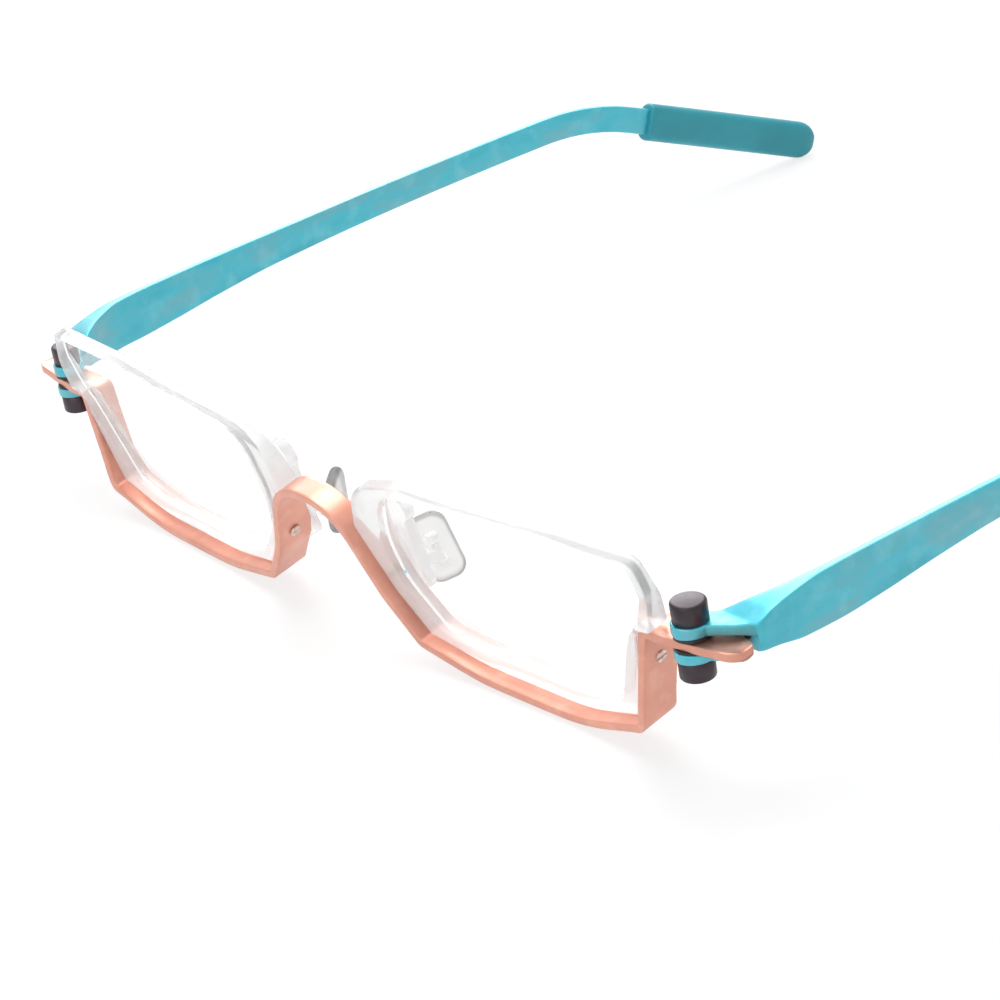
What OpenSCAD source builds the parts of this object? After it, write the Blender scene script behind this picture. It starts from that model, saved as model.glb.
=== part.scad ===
/* [Front strip] */
// distance from the centre to the lower nose corner of the strip
nose_half = 15.05; // [14.4:0.05:15.8]
// width of one eye opening along the strip, nose corner to outer corner
eye_width = 39.7; // [38.5:0.05:41]
// sheet thickness of the bent strip
strip_thick = 1.15; // [1:0.05:1.25]
// depth of the bent strip from front edge to rear edge
strip_depth = 5.25; // [5:0.05:5.4]
// height of the underside of the bridge above the hinge datum
bridge_height = 15.75; // [15.3:0.05:16.2]
// inside bend radius at the shoulders of the bridge
bridge_bend = 7; // [6:0.1:7.5]
// depth of the strip over the top of the bridge
bridge_depth = 3.4; // [3:0.1:4]
// bend radius at the lower outer corners
corner_bend = 2; // [1.6:0.1:2.6]
// forward lean of the eye openings in degrees
lean = 10.15; // [9.5:0.05:10.8]
// radius of the gentle wrap of the front seen from above
wrap_radius = 794; // [720:1:900]

/* [Tabs and hinges] */
// sheet thickness of the hinge tab
tab_thick = 1.1; // [1:0.05:1.2]
// radius of the rounded tab tip
tab_tip_round = 1.9; // [1.6:0.1:2]
// hinge pin radius
pin_radius = 0.9; // [0.7:0.05:1]
// running clearance between the pin and the tab bore
pin_play = 0.05; // [0.02:0.01:0.08]
// hinge cap radius
cap_radius = 2.1; // [1.8:0.05:2.2]
// hinge cap height
cap_height = 2.55; // [2:0.05:3]
// edge chamfer on the hinge caps
cap_chamfer = 0.25; // [0.1:0.05:0.4]
// ear radius around the pin
ear_radius = 2.35; // [2.3:0.05:2.6]
// upper ear thickness
upper_ear = 1.4; // [1.2:0.05:1.6]
// lower ear thickness
lower_ear = 1.2; // [1:0.05:1.4]
// upper washer thickness
upper_washer_thick = 0.5; // [0.4:0.05:0.6]
// lower washer thickness
lower_washer_thick = 0.3; // [0.2:0.05:0.4]
// washer radius
washer_radius = 2.2; // [2:0.05:2.3]
// radius of the small stop bumper
bumper_radius = 0.45; // [0.3:0.05:0.5]

/* [Temples] */
// plate thickness of the temple
temple_thick = 1.15; // [1:0.05:1.3]
// distance behind the hinge where the ear bend starts
bend_start = 90; // [84:1:92]
// distance behind the hinge where the temple ends
temple_reach = 137.5; // [134:0.5:144]
// radius of the ear bend
bend_radius = 40; // [34:1:46]
// distance behind the hinge where the temple starts to curve inwards
bow_start = 48; // [44:1:52]
// radius of the inward curve of the temple seen from above
bow_radius = 450; // [420:5:500]
// height of the temple plate at the ear bend
temple_height = 4; // [3.6:0.1:4.4]
// thickness of the ear tip sleeve
tip_thick = 3; // [2.6:0.1:3.4]
// height of the ear tip sleeve
tip_height = 5.8; // [5.4:0.1:6.4]
// length of the ear tip sleeve
tip_length = 30; // [26:0.5:30]

/* [Clear rims and lenses] */
// height of the top edge of the rims above the hinge datum
rim_top = 22.8; // [22.4:0.1:23.4]
// height of the thin top bar of the rims
rim_bar = 0.75; // [0.7:0.05:1]
// width of the rim at the bottom
rim_width = 2.05; // [1.8:0.05:2.2]
// set-back of the rim behind the front edge of the strip
rim_back = 1.7; // [1.5:0.05:1.9]
// depth of the rims
rim_depth = 3.1; // [3:0.05:3.3]
// depth of the rims at the thin top bar
rim_top_depth = 2; // [1.9:0.05:2.2]
// clearance between the rim and the strip
rim_play = 0.05; // [0.03:0.01:0.1]
// lens thickness
lens_thick = 1; // [0.9:0.05:1.1]
// depth of the lens groove in the rim
groove_depth = 0.4; // [0.35:0.05:0.45]
// clearance of the lens in its groove
groove_play = 0.05; // [0.03:0.01:0.08]
// front curve radius of the lens
lens_radius = 450; // [400:10:600]

/* [Screws and nose pads] */
// screw shank radius
screw_radius = 0.5; // [0.4:0.05:0.6]
// clearance around a screw shank
screw_play = 0.03; // [0.02:0.01:0.06]
// screw head radius
screw_head = 0.8; // [0.7:0.05:0.95]
// screw head thickness
screw_head_thick = 0.35; // [0.25:0.05:0.5]
// width of a nose pad
pad_width = 5; // [4.6:0.1:5.4]
// length of a nose pad
pad_length = 9; // [8.4:0.1:9.6]
// thickness of a nose pad
pad_thick = 1.8; // [1.6:0.1:2]
// radius of the pad post
post_radius = 0.6; // [0.5:0.05:0.7]
// running clearance of the pad post
post_play = 0.05; // [0.03:0.01:0.08]
// width of the pad arm
arm_width = 2.6; // [2.4:0.1:2.8]
// thickness of the pad arm
arm_thick = 1.5; // [1.3:0.1:1.7]

/* [Hidden] */
drawn_nose = 15.05;
drawn_width = 39.35;
tilt_pivot = 13.5;
tab_low = 13.35;
tab_high = tab_low + tab_thick;
wall_lean = 0.195;
wall_front = 4.1;
wall_back = wall_front + strip_depth;
wall_side = nose_half + eye_width;
pin_x = wall_side + 8.25;
pin_y = 6.46;
upper_low = tab_high + upper_washer_thick;
upper_high = upper_low + upper_ear;
lower_high = tab_low - lower_washer_thick;
lower_low = lower_high - lower_ear;
slot_back = wall_back + 0.35;
outer_slope = 0.03;
outer_zero = pin_x + 7.1;
bow_y = pin_y + bow_start;
round_end = tip_height/2;
sill_low = -3.446;
overlap = 0.25;
ground = tilt_pivot + (sill_low - tilt_pivot)*cos(lean) + wrap_y(fx(39.6))*sin(lean);
rear_end = pin_y + temple_reach + round_end;
front_end = -(bridge_height + strip_thick - tilt_pivot)*sin(lean);
centre_y = (rear_end + front_end)/2;
$fn = 48;

// across position on the front, stretched with the nose gap and the eye width
function fx(x) = x < drawn_nose ? x*nose_half/drawn_nose : nose_half + (x - drawn_nose)*eye_width/drawn_width;
function wrap_y(x) = wrap_radius - sqrt(wrap_radius*wrap_radius - x*x);
function unit(v) = v/norm(v);
function flat(v) = [v[0], v[1]];
function side(v) = [v[1], -v[0]];
function turning(a, b) = a[0]*b[1] - a[1]*b[0];

// corner path moved sideways by d, to the right of its direction of travel
function moved(p, d) = [for (i = [0:len(p) - 1])
    let (a = unit(flat(p[max(1, i)]) - flat(p[max(0, i - 1)])),
         b = unit(flat(p[min(len(p) - 1, i + 1)]) - flat(p[min(len(p) - 2, i)])),
         m = (side(a) + side(b))/(1 + side(a)*side(b)),
         s = turning(a, b) > 0 ? 1 : -1)
    [p[i][0] + m[0]*d, p[i][1] + m[1]*d, p[i][2] == 0 ? 0 : max(0.05, p[i][2] + s*d)]];

// the points of one rounded corner
function corner(u, v, w) =
    let (a = unit(flat(v) - flat(u)), b = unit(flat(w) - flat(v)),
         turn = acos(min(1, a*b)), s = turning(a, b) > 0 ? 1 : -1, t = v[2]*tan(turn/2),
         c = flat(v) - a*t - s*v[2]*side(a), n = max(1, ceil(turn/7)))
    v[2] == 0 ? [flat(v)] : [for (k = [0:n])
        let (h = s*turn*k/n, e = flat(v) - a*t - c) c + [e[0]*cos(h) - e[1]*sin(h), e[0]*sin(h) + e[1]*cos(h)]];

// an open path and a closed loop with their corners rounded
function open_round(p) = concat([flat(p[0])],
    [for (i = [1:len(p) - 2]) for (q = corner(p[i - 1], p[i], p[i + 1])) q], [flat(p[len(p) - 1])]);
function loop_round(p) = [for (i = [0:len(p) - 1])
    for (q = corner(p[(i + len(p) - 1) % len(p)], p[i], p[(i + 1) % len(p)])) q];
function flipped(p) = [for (i = [len(p) - 1:-1:0]) [-p[i][0], p[i][1], p[i][2]]];
function backwards(p) = [for (i = [len(p) - 1:-1:0]) p[i]];

// underside and outside line of the strip from the bridge to the tab, right half of the drawing
nose_path = [[fx(5.25), bridge_height, bridge_bend], [fx(10.5), 4.6, 9], [fx(15.05), -1.3, 1.8]];
nose_run = (nose_path[1][0] - nose_path[0][0])/(bridge_height - nose_path[1][1]);
sill_path = [[fx(25.5), -3.25, 34], [fx(43.5), -3.5, 30], [fx(54.4), -0.59, corner_bend]];
wall_path = [wall_side + wall_lean*19, 18.4, 0];
half_path = concat(nose_path, sill_path, [wall_path]);
whole_path = concat(flipped(half_path), half_path);

// the rim outside starts on the lens side of the strip and closes over the top
rim_start = 13.1;
rim_seat = moved(concat([[nose_path[0][0] + nose_run*(bridge_height - rim_start), rim_start, 0]], [nose_path[1], nose_path[2]], sill_path,
    [[wall_side + wall_lean*14.2, 13.61, 0]]), -strip_thick - rim_play);
rim_crown = [[wall_side + 4.25, 13.84, 0.3], [wall_side + 5.1, 18.1, 3], [wall_side + 3.55, rim_top - 0.05, 1.4],
    [fx(43.6), rim_top, 40], [fx(32), rim_top - 0.9, 60], [fx(17.5), rim_top - 1.2, 12],
    [fx(10.4), 19.7, 3], [fx(8.7), 17.9, 2]];
rim_loop = concat([[rim_seat[0][0], rim_seat[0][1], 0]], [for (i = [1:len(rim_seat) - 1]) rim_seat[i]], rim_crown);

// the eye opening inside the rim
sill = moved([[fx(16), -1.45, 0], sill_path[0], sill_path[1], [fx(52), -1.23, 0]],
    -strip_thick - rim_play - rim_width);
eye_loop = [[fx(18.4), sill[0][1] + 0.25, 3.2], [sill[1][0], sill[1][1], 26], [sill[2][0], sill[2][1], 24],
    [wall_side - 4.75, 1.3, 2.2], [wall_side - 0.95, 10, 4], [wall_side + 0.35, 12.4, 1],
    [wall_side + 2.4, 14.5, 2.5], [wall_side + 4, 18.4, 1.2], [wall_side + 3.2, rim_top - 0.05 - rim_bar, 1.8],
    [fx(43.6), rim_top - rim_bar, 40], [fx(32), rim_top - 0.9 - rim_bar, 60],
    [fx(14.2), rim_top - 2.2 - rim_bar, 5], [fx(12.1), 12, 9], [fx(13.4), 6.6, 7]];

module leaned() {
    translate([0, 0, tilt_pivot]) rotate([lean, 0, 0]) translate([0, 0, -tilt_pivot]) children();
}

// a drawing on the front extruded backwards from the given depth
module to_back(from, length) {
    translate([0, from + length, 0]) rotate([90, 0, 0]) linear_extrude(length) children();
}

// the gently curved sheet of space between two depths behind the front face
module shell(near, far) {
    half = wall_side - 1.1;
    line = [for (k = [-11:11]) half*k/11];
    translate([0, 0, -9]) linear_extrude(40) polygon(concat(
        [for (x = line) [x, wrap_y(x) + near]], [for (x = line) [-x, wrap_y(x) + far]]));
}

rim_x = fx(34.5);
rim_yaw = asin(rim_x/wrap_radius);

// the sheet of space that one rim fills, turned to follow the wrap of the front and thinner at the top
module rim_slab() {
    near = rim_back + 0.4;
    translate([rim_x, wrap_y(rim_x) + 0.2, 0]) rotate([0, 0, rim_yaw]) along_x(-40, 80)
        polygon([[rim_back, -15], [rim_back + rim_depth, -15], [rim_back + rim_depth, 13],
            [near + rim_top_depth, rim_top - 0.8], [near + rim_top_depth, 35], [near, 35], [near, rim_top - 0.8],
            [rim_back, 14]]);
}

module side_box() {
    z = tab_high - 0.01;
    top = wall_side + wall_lean*(z + 0.3) - strip_thick*1.02 - 0.1;
    to_back(wall_front, strip_depth)
        polygon(loop_round([[wall_side - 1.2, -9, 0], [wall_side + 6, -9, 0], [wall_side + 6, z, 0],
            [top, z, 1.3], [top - wall_lean*18, z - 18, 0]]));
}

module tab() {
    translate([0, 0, tab_low]) linear_extrude(tab_thick)
        polygon(loop_round([[wall_side + 2, wall_front, 0], [wall_side + 4.4, wall_front - 0.15, 6],
            [pin_x + 1, wall_front + 0.6, 12], [pin_x + 7.45, wall_front + 1.25, tab_tip_round],
            [pin_x + 7.8, wall_back - 0.1, tab_tip_round - 0.2], [pin_x, wall_back, 0], [wall_side + 2, wall_back, 0]]));
}

module at_outer_screw() {
    z = 8.6;
    leaned() translate([wall_side + wall_lean*(z + 0.59), 5.85, z]) rotate([0, 90 + atan(wall_lean), 0]) children();
}

module at_inner_screw() {
    z = 6.8;
    leaned() translate([nose_path[1][0] - nose_run*(z - nose_path[1][1]), 2.5, z])
        rotate([0, -90 - atan(nose_run), 0]) children();
}

outer_screw = 2.3;
inner_screw = 2.9;

module screw_bores() {
    at_outer_screw() translate([0, 0, -outer_screw - 0.1]) cylinder(h = 4, r = screw_radius + screw_play);
    at_inner_screw() translate([0, 0, -inner_screw - 0.1]) cylinder(h = 4, r = screw_radius + screw_play);
}

module both() {
    children();
    mirror([1, 0, 0]) children();
}

// one bent strip of sheet: both bottom sills, nose walls, bridge, outer walls and hinge tabs
module front_ribbon() {
    outline = concat(open_round(whole_path), backwards(open_round(moved(whole_path, -strip_thick))));
    color([0.78, 0.5, 0.42]) difference() {
        union() {
            intersection() {
                leaned() to_back(-6, 26) polygon(outline);
                union() {
                    leaned() shell(0, strip_depth);
                    both() side_box();
                }
            }
            both() tab();
        }
        leaned() along_x(-12, 24)
            polygon(loop_round([[strip_depth + 0.1, 6.4, 0], [bridge_depth, bridge_height - 1, 3], [bridge_depth, 21, 0],
                [12, 21, 0], [12, 6.4, 0]]));
        both() translate([pin_x, pin_y, tab_low - 1]) cylinder(h = tab_thick + 2, r = pin_radius + pin_play);
        both() screw_bores();
    }
}

lens_set = 0.5;
lens_middle = 10.9;

module lens_solid(grow, play) {
    intersection() {
        to_back(-4, 20) polygon(loop_round(moved(eye_loop, grow)));
        translate([rim_x, wrap_y(rim_x) + 0.2 + rim_back, lens_middle]) rotate([0, 0, rim_yaw]) difference() {
            translate([0, lens_radius + lens_set - play, 0]) sphere(r = lens_radius, $fn = 240);
            translate([0, lens_radius + lens_set + lens_thick + play, 0]) sphere(r = lens_radius, $fn = 240);
        }
    }
}

// clear ring held in the strip by two screws, with a groove that holds the lens
module rim() {
    color([0.93, 0.95, 0.96, 0.5]) difference() {
        leaned() difference() {
            intersection() {
                to_back(-4, 20) polygon(loop_round(rim_loop));
                rim_slab();
            }
            to_back(-5, 22) polygon(loop_round(eye_loop));
            lens_solid(groove_depth + groove_play, groove_play);
        }
        screw_bores();
        arm_seat(post_play);
    }
}

module lens() {
    color([0.85, 0.93, 0.97, 0.25]) leaned() lens_solid(groove_depth, 0);
}

// slotted screw, its head on the outside of the strip and its shank in the rim
module screw(length) {
    color([0.75, 0.55, 0.48]) difference() {
        union() {
            cylinder(h = screw_head_thick, r = screw_head);
            translate([0, 0, -length]) cylinder(h = length + overlap, r = screw_radius);
        }
        translate([-0.15, -2, screw_head_thick - 0.15]) cube([0.3, 4, 1]);
    }
}

arm_foot = [fx(12.3), 4.6, 1.5];
arm_head = [fx(12.4), 15.2, 2.1];
arm_pegs = [[fx(12.9), 5.1], [fx(11), 14.8]];
arm_front = strip_depth + 0.2;
peg_seat = 1.2;
peg_grip = 0.8;
peg_radius = 0.6;
pad_x = 10.6;
pad_y = 11.3;
pad_z = 7.9;
pad_yaw = -35;
pad_roll = 16;
pad_splay = -8;
post_out = 1.75;
lug_low = 1.25;
lug_high = 2.3;

// the two pegs of the arm that sit in the rim
module arm_seat(play) {
    leaned() translate([rim_x, wrap_y(rim_x) + 0.2, 0]) rotate([0, 0, rim_yaw])
        for (p = arm_pegs)
            translate([p[0] - rim_x, rim_back + rim_depth - peg_seat - play, p[1]]) rotate([-90, 0, 0])
                cylinder(h = arm_front - rim_back - rim_depth + peg_seat + peg_grip + play, r = peg_radius + play);
}

module at_pad() {
    translate([pad_x, pad_y, pad_z]) rotate([0, 0, pad_yaw]) rotate([pad_roll, 0, 0])
        rotate([0, pad_splay, 0]) children();
}

// clear bar behind the nose side of the rim, with a stem and a cross post that carry the pad
module pad_arm() {
    color([0.9, 0.93, 0.95, 0.6]) union() {
        leaned() translate([rim_x, wrap_y(rim_x) + 0.2, 0]) rotate([0, 0, rim_yaw])
            translate([-rim_x, arm_front + arm_thick, 0]) rotate([90, 0, 0])
                linear_extrude(arm_thick) union() {
                    for (p = [arm_foot, arm_head])
                        translate(flat(p)) circle(r = p[2]);
                    translate(flat(arm_foot)) rotate(atan2(arm_foot[0] - arm_head[0], arm_head[1] - arm_foot[1]))
                        translate([-arm_width/2, 0]) square([arm_width, norm(flat(arm_head) - flat(arm_foot))]);
                }
        arm_seat(0);
        translate([pad_x + 0.75, arm_front + arm_thick, pad_z - 0.75])
            cube([1.2, pad_y - 1.1 - arm_front - arm_thick, 1.4]);
        at_pad() translate([post_out, 0, -lug_high]) cylinder(h = 2*lug_high, r = post_radius);
    }
}

// soft pad with two lugs that turn on the cross post of the arm
module nose_pad() {
    round = 1.8;
    color([0.92, 0.94, 0.95, 0.7]) at_pad() difference() {
        union() {
            translate([-pad_thick/2, 0, 0]) rotate([90, 0, 90]) linear_extrude(pad_thick)
                polygon(loop_round([[pad_width/2, -pad_length/2, round], [pad_width/2, pad_length/2, round],
                    [-pad_width/2, pad_length/2, round], [-pad_width/2, -pad_length/2, round]]));
            for (z = [lug_low, -lug_high])
                translate([pad_thick/2 - 0.1, -1, z]) cube([post_out, 2, lug_high - lug_low]);
        }
        translate([post_out, 0, -4]) cylinder(h = 8, r = post_radius + post_play);
    }
}

module along_x(from, length) {
    translate([from, 0, 0]) rotate([90, 0, 90]) linear_extrude(length) children();
}

// thickness of the temple seen from above, thick at the hinge and thin behind
swell_start = 8.3;
swell_end = 27;
swell_extra = 4.9;
function swell(y) = temple_thick + (y < swell_end
    ? swell_extra*pow((swell_end - y)/(swell_end - swell_start), 2.3) : 0);
// outer face seen from above, straight and then curving inwards
function outer_x(y) = outer_zero + outer_slope*y - pow(max(0, y - bow_y), 2)/(2*bow_radius);
function middle_x(y) = outer_x(y) - temple_thick/2;

// centre line of the temple in side view: level, then bent down behind the ear
bend_y = pin_y + bend_start;
level_z = 16.2;
end_y = pin_y + temple_reach;
end_z = ground + round_end;
bend_angle = atan((level_z - end_z)/(end_y - bend_y - 10));
side_path = [[bend_y - 60, level_z + 0.15, 0], [bend_y + 10, level_z, bend_radius], [end_y, end_z, 0]];

module temple_plan() {
    rear = end_y - 6;
    run = [for (k = [0:18]) bow_y + (rear - bow_y)*k/18];
    root = [for (k = [0:18]) swell_start + (swell_end - swell_start)*k/18];
    polygon(concat([[pin_x + 1, pin_y - 1], [pin_x + ear_radius, pin_y + 0.1], [pin_x + 6.2, slot_back - 0.35],
        [outer_x(slot_back), slot_back - 0.1]], [for (y = run) [outer_x(y), y]],
        [for (k = [18:-1:0]) [outer_x(run[k]) - temple_thick, run[k]]],
        [for (k = [18:-1:0]) [outer_x(root[k]) - swell(root[k]), root[k]]]));
    translate([pin_x, pin_y]) circle(r = ear_radius);
}

module temple_side() {
    upper = moved(side_path, -temple_height/2);
    lower = moved(side_path, temple_height/2);
    polygon(concat(
        open_round([[pin_y - 5, upper_high, 0], [slot_back - 0.4, upper_high, 4], [slot_back + 2.3, upper_high + 1.25, 5],
            [19.5, 18.85, 12], [42, 18.75, 40], upper[1], upper[2]]),
        backwards(open_round([[pin_y - 5, upper_low - 1.6, 0], [slot_back, 13.05, 0.5], [16.5, 12.1, 10],
            [24, 12.05, 14], [40, 13.5, 30], lower[1], lower[2]]))));
}

module temple() {
    color([0.24, 0.7, 0.78]) difference() {
        union() {
            intersection() {
                translate([0, 0, -20]) linear_extrude(60) temple_plan();
                along_x(pin_x - 8, 30) temple_side();
            }
            intersection() {
                translate([0, 0, lower_low]) linear_extrude(lower_ear + 0.5) temple_plan();
                translate([pin_x - 5, pin_y - 5, 0]) cube([9.6, 11, 30]);
            }
        }
        translate([pin_x - 8, pin_y - 8, lower_high]) cube([20, slot_back - pin_y + 8, upper_low - lower_high]);
        translate([pin_x - 8, pin_y - 8, lower_high]) cube([11.45, 14.4, upper_low - lower_high]);
        translate([pin_x, pin_y, 0]) cylinder(h = 30, r = pin_radius + 0.02);
        bumper(0.02);
    }
}

module bumper(play) {
    color([0.08, 0.08, 0.09]) translate([pin_x + 5.45, slot_back - 0.3, tab_high + 0.25]) rotate([-90, 0, 0])
        cylinder(h = 1.5 + play, r = bumper_radius + play);
}

module hinge_pin() {
    color([0.3, 0.29, 0.31]) translate([pin_x, pin_y, lower_low - cap_height + 0.6])
        cylinder(h = upper_high - lower_low + 2*cap_height - 1.2, r = pin_radius);
}

// round cap with a chamfered outer rim and a blind bore for the pin
module cap() {
    color([0.25, 0.24, 0.27]) difference() {
        union() {
            cylinder(h = cap_height - cap_chamfer, r = cap_radius);
            translate([0, 0, cap_height - cap_chamfer])
                cylinder(h = cap_chamfer, r1 = cap_radius, r2 = cap_radius - cap_chamfer);
        }
        translate([0, 0, -1]) cylinder(h = cap_height + 0.42, r = pin_radius + 0.02);
    }
}

module upper_cap() {
    translate([pin_x, pin_y, upper_high]) cap();
}

module lower_cap() {
    translate([pin_x, pin_y, lower_low]) mirror([0, 0, 1]) cap();
}

module washer(low, thick) {
    color([0.16, 0.16, 0.18]) translate([pin_x, pin_y, low]) difference() {
        cylinder(h = thick, r = washer_radius);
        translate([0, 0, -1]) cylinder(h = thick + 2, r = pin_radius + 0.02);
    }
}

// plastic sleeve over the bent end of the temple
module temple_tip() {
    start = end_y - tip_length*cos(bend_angle);
    far = [end_y + round_end*cos(bend_angle), end_z - round_end*sin(bend_angle), 0];
    low = moved([side_path[0], side_path[1], far], tip_height/2);
    high = moved([side_path[0], side_path[1], far], -tip_height/2);
    nose = round_end - 0.01;
    color([0.2, 0.62, 0.7]) difference() {
        intersection() {
            along_x(outer_x(end_y) - 12, 30)
                polygon(loop_round([high[0], high[1], [high[2][0], high[2][1], nose],
                    [low[2][0], low[2][1], nose], low[1], low[0]]));
            translate([0, 0, -20]) linear_extrude(60) tip_plan(start);
        }
        intersection() {
            translate([0, 0, -20]) linear_extrude(60) temple_plan();
            along_x(outer_x(end_y) - 12, 30) temple_side();
        }
    }
}

module tip_plan(start) {
    run = [for (k = [0:10]) start + (rear_end + 1 - start)*k/10];
    polygon(concat([for (y = run) [middle_x(y) + tip_thick/2, y]],
        [for (k = [10:-1:0]) [middle_x(run[k]) - tip_thick/2, run[k]]]));
}

module placed() {
    translate([0, -centre_y, -ground]) children();
}

module flip(at) {
    if (at == "right") mirror([1, 0, 0]) children();
    else children();
}

placed() front_ribbon();
placed() rim();  // rim_left
placed() flip("right") rim();  // rim_right
placed() lens();  // lens_left
placed() flip("right") lens();  // lens_right
placed() at_outer_screw() screw(outer_screw);  // rim_screw_outer_left
placed() flip("right") at_outer_screw() screw(outer_screw);  // rim_screw_outer_right
placed() at_inner_screw() screw(inner_screw);  // rim_screw_inner_left
placed() flip("right") at_inner_screw() screw(inner_screw);  // rim_screw_inner_right
placed() pad_arm();  // pad_arm_left
placed() flip("right") pad_arm();  // pad_arm_right
placed() nose_pad();  // nose_pad_left
placed() flip("right") nose_pad();  // nose_pad_right
placed() temple();  // temple_left
placed() flip("right") temple();  // temple_right
placed() hinge_pin();  // hinge_pin_left
placed() flip("right") hinge_pin();  // hinge_pin_right
placed() upper_cap();  // upper_cap_left
placed() flip("right") upper_cap();  // upper_cap_right
placed() lower_cap();  // lower_cap_left
placed() flip("right") lower_cap();  // lower_cap_right
placed() washer(tab_high, upper_washer_thick);  // upper_washer_left
placed() flip("right") washer(tab_high, upper_washer_thick);  // upper_washer_right
placed() washer(lower_high, lower_washer_thick);  // lower_washer_left
placed() flip("right") washer(lower_high, lower_washer_thick);  // lower_washer_right
placed() bumper(0);  // stop_bumper_left
placed() flip("right") bumper(0);  // stop_bumper_right
placed() temple_tip();  // temple_tip_left
placed() flip("right") temple_tip();  // temple_tip_right
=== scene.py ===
import math

import bmesh
import bpy
import numpy as np
from mathutils import Matrix, Vector


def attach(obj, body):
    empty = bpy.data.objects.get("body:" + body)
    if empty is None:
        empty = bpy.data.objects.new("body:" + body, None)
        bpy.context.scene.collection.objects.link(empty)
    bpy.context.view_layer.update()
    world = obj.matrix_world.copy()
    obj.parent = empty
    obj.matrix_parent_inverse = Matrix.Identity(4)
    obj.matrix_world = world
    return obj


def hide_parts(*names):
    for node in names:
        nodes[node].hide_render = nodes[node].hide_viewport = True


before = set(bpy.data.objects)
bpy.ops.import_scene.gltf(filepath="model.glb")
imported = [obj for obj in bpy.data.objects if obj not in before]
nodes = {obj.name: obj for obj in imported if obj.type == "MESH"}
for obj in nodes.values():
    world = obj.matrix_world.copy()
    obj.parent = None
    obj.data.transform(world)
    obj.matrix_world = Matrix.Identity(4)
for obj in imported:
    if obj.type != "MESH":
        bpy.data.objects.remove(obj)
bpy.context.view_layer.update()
print("frame loaded", len(nodes), "nodes")

# the drawing's own datum: hinge pins upright, heights from the lens line, all in millimetres
datum = {"backShift": -73.1524, "lift": 3.0067, "lean": math.radians(10.15), "pivot": 13.5,
         "wrapRadius": 794.0}
sides = ("left", "right")

# the largest share of a bar's side that one rounded corner takes up
cornerShare = 0.45


def toShared(x, y, z):
    # a point of the drawing, in the shared frame and in metres
    return Vector((x, y + datum["backShift"], z + datum["lift"])) * 0.001


def leaned(x, depth, z):
    # a point of the upright drawing, turned back with the leaning front
    c, s = math.cos(datum["lean"]), math.sin(datum["lean"])
    h = z - datum["pivot"]
    return np.array((x, depth * c - h * s, depth * s + h * c + datum["pivot"]))


def leanedHeight(y, z):
    # the height at which the leaning front passes y
    rise = z - datum["pivot"] + y * math.sin(datum["lean"])
    return datum["pivot"] + rise / math.cos(datum["lean"])


def wrapAt(x):
    # how far the curved front stands back at x
    r = datum["wrapRadius"]
    return r - math.sqrt(r * r - x * x)


def smooth(a, b, t):
    t = min(1.0, max(0.0, (t - a) / (b - a)))
    return t * t * (3 - 2 * t)


def blend(a, b, t):
    return a + (b - a) * t


def spun(v, angle):
    # a flat vector turned by an angle
    c, s = math.cos(angle), math.sin(angle)
    return np.array((v[0] * c - v[1] * s, v[0] * s + v[1] * c))


def curveThrough(points):
    # smooth curve through the points that never overshoots them
    xs = np.array([p[0] for p in points], float)
    ys = np.array([p[1] for p in points], float)
    h = np.diff(xs)
    d = np.diff(ys) / h
    m = np.zeros(len(xs))
    m[0], m[-1] = d[0], d[-1]
    for i in range(1, len(xs) - 1):
        if d[i - 1] * d[i] > 0:
            w1, w2 = 2 * h[i] + h[i - 1], h[i] + 2 * h[i - 1]
            m[i] = (w1 + w2) / (w1 / d[i - 1] + w2 / d[i])

    def at(x):
        i = int(np.clip(np.searchsorted(xs, x) - 1, 0, len(h) - 1))
        t = np.clip((x - xs[i]) / h[i], 0, 1)
        return ((2 * t**3 - 3 * t**2 + 1) * ys[i] + (t**3 - 2 * t**2 + t) * h[i] * m[i]
                + (-2 * t**3 + 3 * t**2) * ys[i + 1] + (t**3 - t**2) * h[i] * m[i + 1])
    return at


def roundedPath(corners, step):
    # corners are (x, z, bend radius); returns evenly spaced points and their directions
    pts = [np.array(corners[0][:2], float)]
    for i in range(1, len(corners) - 1):
        u, v, w = (np.array(corners[k][:2], float) for k in (i - 1, i, i + 1))
        a, b = (v - u) / np.linalg.norm(v - u), (w - v) / np.linalg.norm(w - v)
        turn = math.acos(np.clip(a @ b, -1, 1))
        side = 1 if a[0] * b[1] - a[1] * b[0] > 0 else -1
        r = corners[i][2]
        start = v - a * r * math.tan(turn / 2)
        centre = start + side * r * np.array((-a[1], a[0]))
        n = max(2, int(turn / math.radians(2)))
        pts += [centre + spun(start - centre, side * turn * k / n) for k in range(n + 1)]
    pts.append(np.array(corners[-1][:2], float))
    pts = np.array(pts)
    keep = [0] + [i for i in range(1, len(pts)) if np.linalg.norm(pts[i] - pts[i - 1]) > 1e-6]
    pts = pts[keep]
    run = np.concatenate([[0], np.cumsum(np.linalg.norm(np.diff(pts, axis=0), axis=1))])
    s = np.linspace(0, run[-1], int(run[-1] / step) + 1)
    out = np.stack([np.interp(s, run, pts[:, 0]), np.interp(s, run, pts[:, 1])], 1)
    d = np.gradient(out, axis=0)
    return out, d / np.linalg.norm(d, axis=1)[:, None]


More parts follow.
